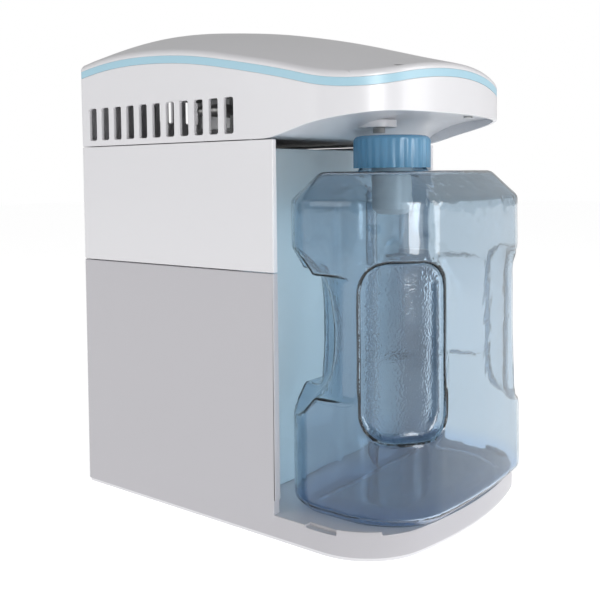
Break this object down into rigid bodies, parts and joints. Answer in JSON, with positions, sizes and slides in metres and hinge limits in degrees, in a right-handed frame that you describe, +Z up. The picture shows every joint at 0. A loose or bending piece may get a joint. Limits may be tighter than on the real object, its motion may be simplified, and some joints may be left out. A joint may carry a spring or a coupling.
{
  "type": "countertop water distiller",
  "caption": "White countertop water distiller with a hinged vented head, a boiler inside, a blue trim line and a clear blue jug with a screw cap standing in its open bay.",
  "frame": {"origin": "centre of the whole object on the surface it stands on", "axes": "+Z up, +Y to the back with the hinge, +X to the right seen from the front, the jug bay faces -Y"},
  "size_m": [0.2296, 0.3229, 0.383],
  "materials": {
    "white_plastic": "glossy moulded white",
    "panel_plastic": "glossy pale blue-white",
    "stripe_blue": "satin sky blue",
    "jug_clear": "clear blue-tinted moulded plastic",
    "cap_blue": "satin mid blue",
    "cup_plastic": "translucent milky white",
    "stainless": "brushed stainless steel",
    "aluminium": "bare aluminium",
    "grey_plastic": "light grey matte plastic",
    "dark_plastic": "black matte plastic",
    "silicone": "pale silicone",
    "foot_rubber": "dark rubber",
    "brass": "brass",
    "carbon": "non-woven pouch with granules",
    "lens_amber": "clear amber lens"
  },
  "bodies": {
    "housing": {"lower_housing": "white_plastic", "upper_housing": "white_plastic", "front_panel": "panel_plastic", "base_plate": "white_plastic", "feet": "foot_rubber", "base_screws": "stainless", "boiler_seat": "grey_plastic", "heater_plate": "aluminium", "heating_element": "stainless", "thermostat": "dark_plastic", "thermal_cutout": "dark_plastic", "boiler": "stainless", "boiler_handles": "stainless", "splash_deck": "grey_plastic", "power_inlet": "dark_plastic", "inlet_pins": "brass", "start_switch": "dark_plastic", "indicator_lens": "lens_amber", "terminal_block": "white_plastic", "hinge_leaf_lower": "stainless", "hinge_pins": "stainless", "lower_hinge_screws": "stainless"},
    "head": {"head_shell": "white_plastic", "trim_stripe": "stripe_blue", "lid_top": "white_plastic", "head_tray": "white_plastic", "nozzle": "grey_plastic", "steam_seal": "silicone", "condenser_coil": "stainless", "condenser_fins": "aluminium", "fan_frame": "grey_plastic", "fan_motor": "dark_plastic", "tray_screws": "stainless", "hinge_leaf_upper": "stainless", "upper_hinge_screws": "stainless"},
    "fan": {"fan_rotor": "dark_plastic"},
    "boiler_lid": {"boiler_lid": "stainless", "boiler_gasket": "silicone"},
    "button": {"start_button": "grey_plastic"},
    "jug": {"jug": "jug_clear"},
    "filter": {"filter_cup": "cup_plastic", "carbon_pod": "carbon"},
    "cap": {"cap": "cap_blue", "cap_liner": "silicone"}
  },
  "joints": [
    {"name": "head_hinge", "type": "hinge", "parent": "housing", "child": "head", "pos_m": [0, 0.1587, 0.2851], "axis": [-1, 0, 0], "range_deg": [0, 95]},
    {"name": "fan_spin", "type": "hinge", "parent": "head", "child": "fan", "pos_m": [0, 0.0735, 0.34], "axis": [0, 0, 1], "continuous": true},
    {"name": "boiler_lid_turn", "type": "hinge", "parent": "housing", "child": "boiler_lid", "pos_m": [0, 0.0685, 0.266], "axis": [0, 0, 1], "range_deg": [0, 30]},
    {"name": "button_press", "type": "slide", "parent": "housing", "child": "button", "axis": [0, -1, 0], "range_m": [0, 0.0025], "stiffness_N_per_m": 400},
    {"name": "jug_slide", "type": "slide", "parent": "housing", "child": "jug", "axis": [0, -1, 0], "range_m": [0, 0.2]},
    {"name": "cap_lift", "type": "slide", "parent": "jug", "child": "filter", "axis": [0, 0, 1], "range_m": [0, 0.0031]},
    {"name": "cap_turn", "type": "hinge", "parent": "filter", "child": "cap", "pos_m": [0, -0.0801, 0.277], "axis": [0, 0, 1], "range_deg": [0, 360]}
  ],
  "couplings": [
    {"joint": "cap_lift", "follows": "cap_turn", "m_per_rad": 0.00047746}
  ]
}
